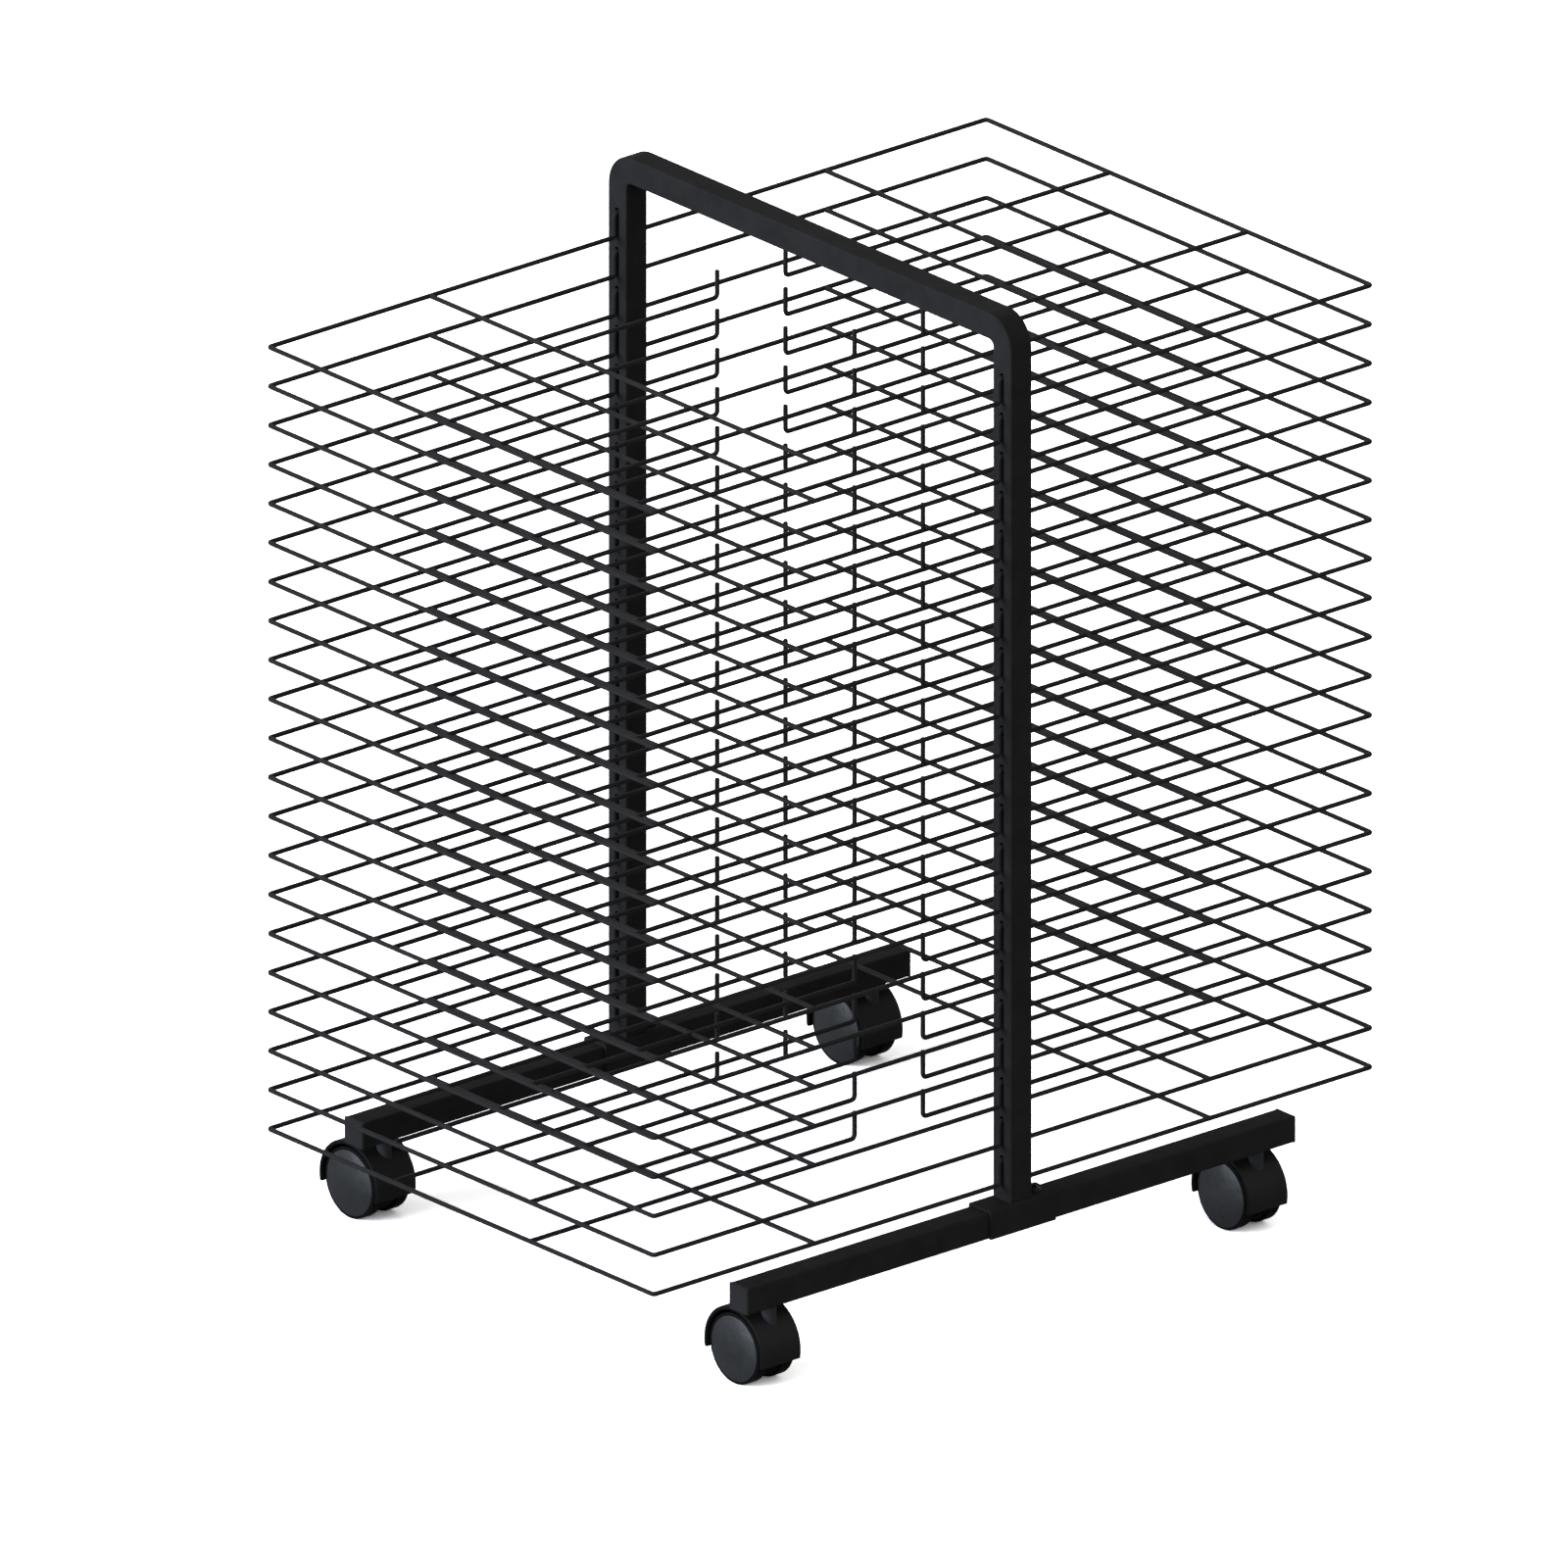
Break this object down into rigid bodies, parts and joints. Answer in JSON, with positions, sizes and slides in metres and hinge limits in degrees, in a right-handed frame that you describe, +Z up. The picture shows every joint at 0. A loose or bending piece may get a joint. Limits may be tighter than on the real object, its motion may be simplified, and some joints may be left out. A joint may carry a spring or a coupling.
{
  "type": "art drying rack",
  "caption": "Double-sided art drying rack on twin-wheel casters: wire shelves hinge on both faces of an inverted-U tube frame.",
  "frame": {"origin": "on the floor, in the middle of the wheels' footprint", "axes": "+Z up, X from upright to upright, Y along the depth of the shelves, front at -Y; the casters trail to -X"},
  "size_m": [0.484, 0.6754, 0.759],
  "materials": {
    "frame_powder_coat": "satin black powder coat",
    "wire_powder_coat": "satin black powder coat",
    "black_steel": "black-finished steel",
    "cap_plastic": "moulded black plastic",
    "hood_nylon": "moulded black nylon",
    "wheel_nylon": "moulded black nylon, smooth face"
  },
  "bodies": {
    "frame": {"frame_hoop": "frame_powder_coat", "foot_bars": "frame_powder_coat", "foot_brackets": "frame_powder_coat", "bracket_screws": "black_steel", "bar_end_caps": "cap_plastic", "caster_stems": "black_steel"},
    "shelf_front_01": {"shelf_front_01": "wire_powder_coat"},
    "shelf_front_02": {"shelf_front_02": "wire_powder_coat"},
    "shelf_front_03": {"shelf_front_03": "wire_powder_coat"},
    "shelf_front_04": {"shelf_front_04": "wire_powder_coat"},
    "shelf_front_05": {"shelf_front_05": "wire_powder_coat"},
    "shelf_front_06": {"shelf_front_06": "wire_powder_coat"},
    "shelf_front_07": {"shelf_front_07": "wire_powder_coat"},
    "shelf_front_08": {"shelf_front_08": "wire_powder_coat"},
    "shelf_front_09": {"shelf_front_09": "wire_powder_coat"},
    "shelf_front_10": {"shelf_front_10": "wire_powder_coat"},
    "shelf_front_11": {"shelf_front_11": "wire_powder_coat"},
    "shelf_front_12": {"shelf_front_12": "wire_powder_coat"},
    "shelf_front_13": {"shelf_front_13": "wire_powder_coat"},
    "shelf_front_14": {"shelf_front_14": "wire_powder_coat"},
    "shelf_front_15": {"shelf_front_15": "wire_powder_coat"},
    "shelf_front_16": {"shelf_front_16": "wire_powder_coat"},
    "shelf_front_17": {"shelf_front_17": "wire_powder_coat"},
    "shelf_front_18": {"shelf_front_18": "wire_powder_coat"},
    "shelf_front_19": {"shelf_front_19": "wire_powder_coat"},
    "shelf_front_20": {"shelf_front_20": "wire_powder_coat"},
    "shelf_front_21": {"shelf_front_21": "wire_powder_coat"},
    "shelf_back_01": {"shelf_back_01": "wire_powder_coat"},
    "shelf_back_02": {"shelf_back_02": "wire_powder_coat"},
    "shelf_back_03": {"shelf_back_03": "wire_powder_coat"},
    "shelf_back_04": {"shelf_back_04": "wire_powder_coat"},
    "shelf_back_05": {"shelf_back_05": "wire_powder_coat"},
    "shelf_back_06": {"shelf_back_06": "wire_powder_coat"},
    "shelf_back_07": {"shelf_back_07": "wire_powder_coat"},
    "shelf_back_08": {"shelf_back_08": "wire_powder_coat"},
    "shelf_back_09": {"shelf_back_09": "wire_powder_coat"},
    "shelf_back_10": {"shelf_back_10": "wire_powder_coat"},
    "shelf_back_11": {"shelf_back_11": "wire_powder_coat"},
    "shelf_back_12": {"shelf_back_12": "wire_powder_coat"},
    "shelf_back_13": {"shelf_back_13": "wire_powder_coat"},
    "shelf_back_14": {"shelf_back_14": "wire_powder_coat"},
    "shelf_back_15": {"shelf_back_15": "wire_powder_coat"},
    "shelf_back_16": {"shelf_back_16": "wire_powder_coat"},
    "shelf_back_17": {"shelf_back_17": "wire_powder_coat"},
    "shelf_back_18": {"shelf_back_18": "wire_powder_coat"},
    "shelf_back_19": {"shelf_back_19": "wire_powder_coat"},
    "shelf_back_20": {"shelf_back_20": "wire_powder_coat"},
    "shelf_back_21": {"shelf_back_21": "wire_powder_coat"},
    "caster_front_left": {"caster_housing_front_left": "hood_nylon"},
    "caster_front_right": {"caster_housing_front_right": "hood_nylon"},
    "caster_back_left": {"caster_housing_back_left": "hood_nylon"},
    "caster_back_right": {"caster_housing_back_right": "hood_nylon"},
    "caster_wheel_front_left_1": {"caster_wheel_front_left_1": "wheel_nylon"},
    "caster_wheel_front_left_2": {"caster_wheel_front_left_2": "wheel_nylon"},
    "caster_wheel_front_right_1": {"caster_wheel_front_right_1": "wheel_nylon"},
    "caster_wheel_front_right_2": {"caster_wheel_front_right_2": "wheel_nylon"},
    "caster_wheel_back_left_1": {"caster_wheel_back_left_1": "wheel_nylon"},
    "caster_wheel_back_left_2": {"caster_wheel_back_left_2": "wheel_nylon"},
    "caster_wheel_back_right_1": {"caster_wheel_back_right_1": "wheel_nylon"},
    "caster_wheel_back_right_2": {"caster_wheel_back_right_2": "wheel_nylon"}
  },
  "joints": [
    {"name": "shelf_front_01_lift", "type": "hinge", "parent": "frame", "child": "shelf_front_01", "pos_m": [0.018, -0.00925, 0.1155], "axis": [-1, 0, 0], "range_deg": [0, 45]},
    {"name": "shelf_front_02_lift", "type": "hinge", "parent": "frame", "child": "shelf_front_02", "pos_m": [0.018, -0.00925, 0.1454], "axis": [-1, 0, 0], "range_deg": [0, 45]},
    {"name": "shelf_front_03_lift", "type": "hinge", "parent": "frame", "child": "shelf_front_03", "pos_m": [0.018, -0.00925, 0.1753], "axis": [-1, 0, 0], "range_deg": [0, 45]},
    {"name": "shelf_front_04_lift", "type": "hinge", "parent": "frame", "child": "shelf_front_04", "pos_m": [0.018, -0.00925, 0.2052], "axis": [-1, 0, 0], "range_deg": [0, 45]},
    {"name": "shelf_front_05_lift", "type": "hinge", "parent": "frame", "child": "shelf_front_05", "pos_m": [0.018, -0.00925, 0.2351], "axis": [-1, 0, 0], "range_deg": [0, 45]},
    {"name": "shelf_front_06_lift", "type": "hinge", "parent": "frame", "child": "shelf_front_06", "pos_m": [0.018, -0.00925, 0.265], "axis": [-1, 0, 0], "range_deg": [0, 45]},
    {"name": "shelf_front_07_lift", "type": "hinge", "parent": "frame", "child": "shelf_front_07", "pos_m": [0.018, -0.00925, 0.2949], "axis": [-1, 0, 0], "range_deg": [0, 45]},
    {"name": "shelf_front_08_lift", "type": "hinge", "parent": "frame", "child": "shelf_front_08", "pos_m": [0.018, -0.00925, 0.3248], "axis": [-1, 0, 0], "range_deg": [0, 45]},
    {"name": "shelf_front_09_lift", "type": "hinge", "parent": "frame", "child": "shelf_front_09", "pos_m": [0.018, -0.00925, 0.3547], "axis": [-1, 0, 0], "range_deg": [0, 45]},
    {"name": "shelf_front_10_lift", "type": "hinge", "parent": "frame", "child": "shelf_front_10", "pos_m": [0.018, -0.00925, 0.3846], "axis": [-1, 0, 0], "range_deg": [0, 45]},
    {"name": "shelf_front_11_lift", "type": "hinge", "parent": "frame", "child": "shelf_front_11", "pos_m": [0.018, -0.00925, 0.4145], "axis": [-1, 0, 0], "range_deg": [0, 45]},
    {"name": "shelf_front_12_lift", "type": "hinge", "parent": "frame", "child": "shelf_front_12", "pos_m": [0.018, -0.00925, 0.4444], "axis": [-1, 0, 0], "range_deg": [0, 45]},
    {"name": "shelf_front_13_lift", "type": "hinge", "parent": "frame", "child": "shelf_front_13", "pos_m": [0.018, -0.00925, 0.4743], "axis": [-1, 0, 0], "range_deg": [0, 45]},
    {"name": "shelf_front_14_lift", "type": "hinge", "parent": "frame", "child": "shelf_front_14", "pos_m": [0.018, -0.00925, 0.5042], "axis": [-1, 0, 0], "range_deg": [0, 45]},
    {"name": "shelf_front_15_lift", "type": "hinge", "parent": "frame", "child": "shelf_front_15", "pos_m": [0.018, -0.00925, 0.5341], "axis": [-1, 0, 0], "range_deg": [0, 45]},
    {"name": "shelf_front_16_lift", "type": "hinge", "parent": "frame", "child": "shelf_front_16", "pos_m": [0.018, -0.00925, 0.564], "axis": [-1, 0, 0], "range_deg": [0, 45]},
    {"name": "shelf_front_17_lift", "type": "hinge", "parent": "frame", "child": "shelf_front_17", "pos_m": [0.018, -0.00925, 0.5939], "axis": [-1, 0, 0], "range_deg": [0, 45]},
    {"name": "shelf_front_18_lift", "type": "hinge", "parent": "frame", "child": "shelf_front_18", "pos_m": [0.018, -0.00925, 0.6238], "axis": [-1, 0, 0], "range_deg": [0, 45]},
    {"name": "shelf_front_19_lift", "type": "hinge", "parent": "frame", "child": "shelf_front_19", "pos_m": [0.018, -0.00925, 0.6537], "axis": [-1, 0, 0], "range_deg": [0, 45]},
    {"name": "shelf_front_20_lift", "type": "hinge", "parent": "frame", "child": "shelf_front_20", "pos_m": [0.018, -0.00925, 0.6836], "axis": [-1, 0, 0], "range_deg": [0, 45]},
    {"name": "shelf_front_21_lift", "type": "hinge", "parent": "frame", "child": "shelf_front_21", "pos_m": [0.018, -0.00925, 0.7135], "axis": [-1, 0, 0], "range_deg": [0, 45]},
    {"name": "shelf_back_01_lift", "type": "hinge", "parent": "frame", "child": "shelf_back_01", "pos_m": [0.018, 0.00925, 0.1155], "axis": [1, 0, 0], "range_deg": [0, 45]},
    {"name": "shelf_back_02_lift", "type": "hinge", "parent": "frame", "child": "shelf_back_02", "pos_m": [0.018, 0.00925, 0.1454], "axis": [1, 0, 0], "range_deg": [0, 45]},
    {"name": "shelf_back_03_lift", "type": "hinge", "parent": "frame", "child": "shelf_back_03", "pos_m": [0.018, 0.00925, 0.1753], "axis": [1, 0, 0], "range_deg": [0, 45]},
    {"name": "shelf_back_04_lift", "type": "hinge", "parent": "frame", "child": "shelf_back_04", "pos_m": [0.018, 0.00925, 0.2052], "axis": [1, 0, 0], "range_deg": [0, 45]},
    {"name": "shelf_back_05_lift", "type": "hinge", "parent": "frame", "child": "shelf_back_05", "pos_m": [0.018, 0.00925, 0.2351], "axis": [1, 0, 0], "range_deg": [0, 45]},
    {"name": "shelf_back_06_lift", "type": "hinge", "parent": "frame", "child": "shelf_back_06", "pos_m": [0.018, 0.00925, 0.265], "axis": [1, 0, 0], "range_deg": [0, 45]},
    {"name": "shelf_back_07_lift", "type": "hinge", "parent": "frame", "child": "shelf_back_07", "pos_m": [0.018, 0.00925, 0.2949], "axis": [1, 0, 0], "range_deg": [0, 45]},
    {"name": "shelf_back_08_lift", "type": "hinge", "parent": "frame", "child": "shelf_back_08", "pos_m": [0.018, 0.00925, 0.3248], "axis": [1, 0, 0], "range_deg": [0, 45]},
    {"name": "shelf_back_09_lift", "type": "hinge", "parent": "frame", "child": "shelf_back_09", "pos_m": [0.018, 0.00925, 0.3547], "axis": [1, 0, 0], "range_deg": [0, 45]},
    {"name": "shelf_back_10_lift", "type": "hinge", "parent": "frame", "child": "shelf_back_10", "pos_m": [0.018, 0.00925, 0.3846], "axis": [1, 0, 0], "range_deg": [0, 45]},
    {"name": "shelf_back_11_lift", "type": "hinge", "parent": "frame", "child": "shelf_back_11", "pos_m": [0.018, 0.00925, 0.4145], "axis": [1, 0, 0], "range_deg": [0, 45]},
    {"name": "shelf_back_12_lift", "type": "hinge", "parent": "frame", "child": "shelf_back_12", "pos_m": [0.018, 0.00925, 0.4444], "axis": [1, 0, 0], "range_deg": [0, 45]},
    {"name": "shelf_back_13_lift", "type": "hinge", "parent": "frame", "child": "shelf_back_13", "pos_m": [0.018, 0.00925, 0.4743], "axis": [1, 0, 0], "range_deg": [0, 45]},
    {"name": "shelf_back_14_lift", "type": "hinge", "parent": "frame", "child": "shelf_back_14", "pos_m": [0.018, 0.00925, 0.5042], "axis": [1, 0, 0], "range_deg": [0, 45]},
    {"name": "shelf_back_15_lift", "type": "hinge", "parent": "frame", "child": "shelf_back_15", "pos_m": [0.018, 0.00925, 0.5341], "axis": [1, 0, 0], "range_deg": [0, 45]},
    {"name": "shelf_back_16_lift", "type": "hinge", "parent": "frame", "child": "shelf_back_16", "pos_m": [0.018, 0.00925, 0.564], "axis": [1, 0, 0], "range_deg": [0, 45]},
    {"name": "shelf_back_17_lift", "type": "hinge", "parent": "frame", "child": "shelf_back_17", "pos_m": [0.018, 0.00925, 0.5939], "axis": [1, 0, 0], "range_deg": [0, 45]},
    {"name": "shelf_back_18_lift", "type": "hinge", "parent": "frame", "child": "shelf_back_18", "pos_m": [0.018, 0.00925, 0.6238], "axis": [1, 0, 0], "range_deg": [0, 45]},
    {"name": "shelf_back_19_lift", "type": "hinge", "parent": "frame", "child": "shelf_back_19", "pos_m": [0.018, 0.00925, 0.6537], "axis": [1, 0, 0], "range_deg": [0, 45]},
    {"name": "shelf_back_20_lift", "type": "hinge", "parent": "frame", "child": "shelf_back_20", "pos_m": [0.018, 0.00925, 0.6836], "axis": [1, 0, 0], "range_deg": [0, 45]},
    {"name": "shelf_back_21_lift", "type": "hinge", "parent": "frame", "child": "shelf_back_21", "pos_m": [0.018, 0.00925, 0.7135], "axis": [1, 0, 0], "range_deg": [0, 45]},
    {"name": "caster_front_left_swivel", "type": "hinge", "parent": "frame", "child": "caster_front_left", "pos_m": [-0.192, -0.228, 0.063], "axis": [0, 0, 1], "continuous": true},
    {"name": "caster_wheel_front_left_1_spin", "type": "hinge", "parent": "caster_front_left", "child": "caster_wheel_front_left_1", "pos_m": [-0.21, -0.228, 0.0265], "axis": [0, 1, 0], "continuous": true},
    {"name": "caster_wheel_front_left_2_spin", "type": "hinge", "parent": "caster_front_left", "child": "caster_wheel_front_left_2", "pos_m": [-0.21, -0.228, 0.0265], "axis": [0, 1, 0], "continuous": true},
    {"name": "caster_front_right_swivel", "type": "hinge", "parent": "frame", "child": "caster_front_right", "pos_m": [0.228, -0.228, 0.063], "axis": [0, 0, 1], "continuous": true},
    {"name": "caster_wheel_front_right_1_spin", "type": "hinge", "parent": "caster_front_right", "child": "caster_wheel_front_right_1", "pos_m": [0.21, -0.228, 0.0265], "axis": [0, 1, 0], "continuous": true},
    {"name": "caster_wheel_front_right_2_spin", "type": "hinge", "parent": "caster_front_right", "child": "caster_wheel_front_right_2", "pos_m": [0.21, -0.228, 0.0265], "axis": [0, 1, 0], "continuous": true},
    {"name": "caster_back_left_swivel", "type": "hinge", "parent": "frame", "child": "caster_back_left", "pos_m": [-0.192, 0.228, 0.063], "axis": [0, 0, 1], "continuous": true},
    {"name": "caster_wheel_back_left_1_spin", "type": "hinge", "parent": "caster_back_left", "child": "caster_wheel_back_left_1", "pos_m": [-0.21, 0.228, 0.0265], "axis": [0, 1, 0], "continuous": true},
    {"name": "caster_wheel_back_left_2_spin", "type": "hinge", "parent": "caster_back_left", "child": "caster_wheel_back_left_2", "pos_m": [-0.21, 0.228, 0.0265], "axis": [0, 1, 0], "continuous": true},
    {"name": "caster_back_right_swivel", "type": "hinge", "parent": "frame", "child": "caster_back_right", "pos_m": [0.228, 0.228, 0.063], "axis": [0, 0, 1], "continuous": true},
    {"name": "caster_wheel_back_right_1_spin", "type": "hinge", "parent": "caster_back_right", "child": "caster_wheel_back_right_1", "pos_m": [0.21, 0.228, 0.0265], "axis": [0, 1, 0], "continuous": true},
    {"name": "caster_wheel_back_right_2_spin", "type": "hinge", "parent": "caster_back_right", "child": "caster_wheel_back_right_2", "pos_m": [0.21, 0.228, 0.0265], "axis": [0, 1, 0], "continuous": true}
  ],
  "couplings": [
    {"joint": "shelf_front_02_lift", "follows": "shelf_front_01_lift", "ratio": 1},
    {"joint": "shelf_front_03_lift", "follows": "shelf_front_01_lift", "ratio": 1},
    {"joint": "shelf_front_04_lift", "follows": "shelf_front_01_lift", "ratio": 1},
    {"joint": "shelf_front_05_lift", "follows": "shelf_front_01_lift", "ratio": 1},
    {"joint": "shelf_front_06_lift", "follows": "shelf_front_01_lift", "ratio": 1},
    {"joint": "shelf_front_07_lift", "follows": "shelf_front_01_lift", "ratio": 1},
    {"joint": "shelf_front_08_lift", "follows": "shelf_front_01_lift", "ratio": 1},
    {"joint": "shelf_front_09_lift", "follows": "shelf_front_01_lift", "ratio": 1},
    {"joint": "shelf_front_10_lift", "follows": "shelf_front_01_lift", "ratio": 1},
    {"joint": "shelf_front_11_lift", "follows": "shelf_front_01_lift", "ratio": 1},
    {"joint": "shelf_front_12_lift", "follows": "shelf_front_01_lift", "ratio": 1},
    {"joint": "shelf_front_13_lift", "follows": "shelf_front_01_lift", "ratio": 1},
    {"joint": "shelf_front_14_lift", "follows": "shelf_front_01_lift", "ratio": 1},
    {"joint": "shelf_front_15_lift", "follows": "shelf_front_01_lift", "ratio": 1},
    {"joint": "shelf_front_16_lift", "follows": "shelf_front_01_lift", "ratio": 1},
    {"joint": "shelf_front_17_lift", "follows": "shelf_front_01_lift", "ratio": 1},
    {"joint": "shelf_front_18_lift", "follows": "shelf_front_01_lift", "ratio": 1},
    {"joint": "shelf_front_19_lift", "follows": "shelf_front_01_lift", "ratio": 1},
    {"joint": "shelf_front_20_lift", "follows": "shelf_front_01_lift", "ratio": 1},
    {"joint": "shelf_front_21_lift", "follows": "shelf_front_01_lift", "ratio": 1},
    {"joint": "shelf_back_02_lift", "follows": "shelf_back_01_lift", "ratio": 1},
    {"joint": "shelf_back_03_lift", "follows": "shelf_back_01_lift", "ratio": 1},
    {"joint": "shelf_back_04_lift", "follows": "shelf_back_01_lift", "ratio": 1},
    {"joint": "shelf_back_05_lift", "follows": "shelf_back_01_lift", "ratio": 1},
    {"joint": "shelf_back_06_lift", "follows": "shelf_back_01_lift", "ratio": 1},
    {"joint": "shelf_back_07_lift", "follows": "shelf_back_01_lift", "ratio": 1},
    {"joint": "shelf_back_08_lift", "follows": "shelf_back_01_lift", "ratio": 1},
    {"joint": "shelf_back_09_lift", "follows": "shelf_back_01_lift", "ratio": 1},
    {"joint": "shelf_back_10_lift", "follows": "shelf_back_01_lift", "ratio": 1},
    {"joint": "shelf_back_11_lift", "follows": "shelf_back_01_lift", "ratio": 1},
    {"joint": "shelf_back_12_lift", "follows": "shelf_back_01_lift", "ratio": 1},
    {"joint": "shelf_back_13_lift", "follows": "shelf_back_01_lift", "ratio": 1},
    {"joint": "shelf_back_14_lift", "follows": "shelf_back_01_lift", "ratio": 1},
    {"joint": "shelf_back_15_lift", "follows": "shelf_back_01_lift", "ratio": 1},
    {"joint": "shelf_back_16_lift", "follows": "shelf_back_01_lift", "ratio": 1},
    {"joint": "shelf_back_17_lift", "follows": "shelf_back_01_lift", "ratio": 1},
    {"joint": "shelf_back_18_lift", "follows": "shelf_back_01_lift", "ratio": 1},
    {"joint": "shelf_back_19_lift", "follows": "shelf_back_01_lift", "ratio": 1},
    {"joint": "shelf_back_20_lift", "follows": "shelf_back_01_lift", "ratio": 1},
    {"joint": "shelf_back_21_lift", "follows": "shelf_back_01_lift", "ratio": 1}
  ]
}
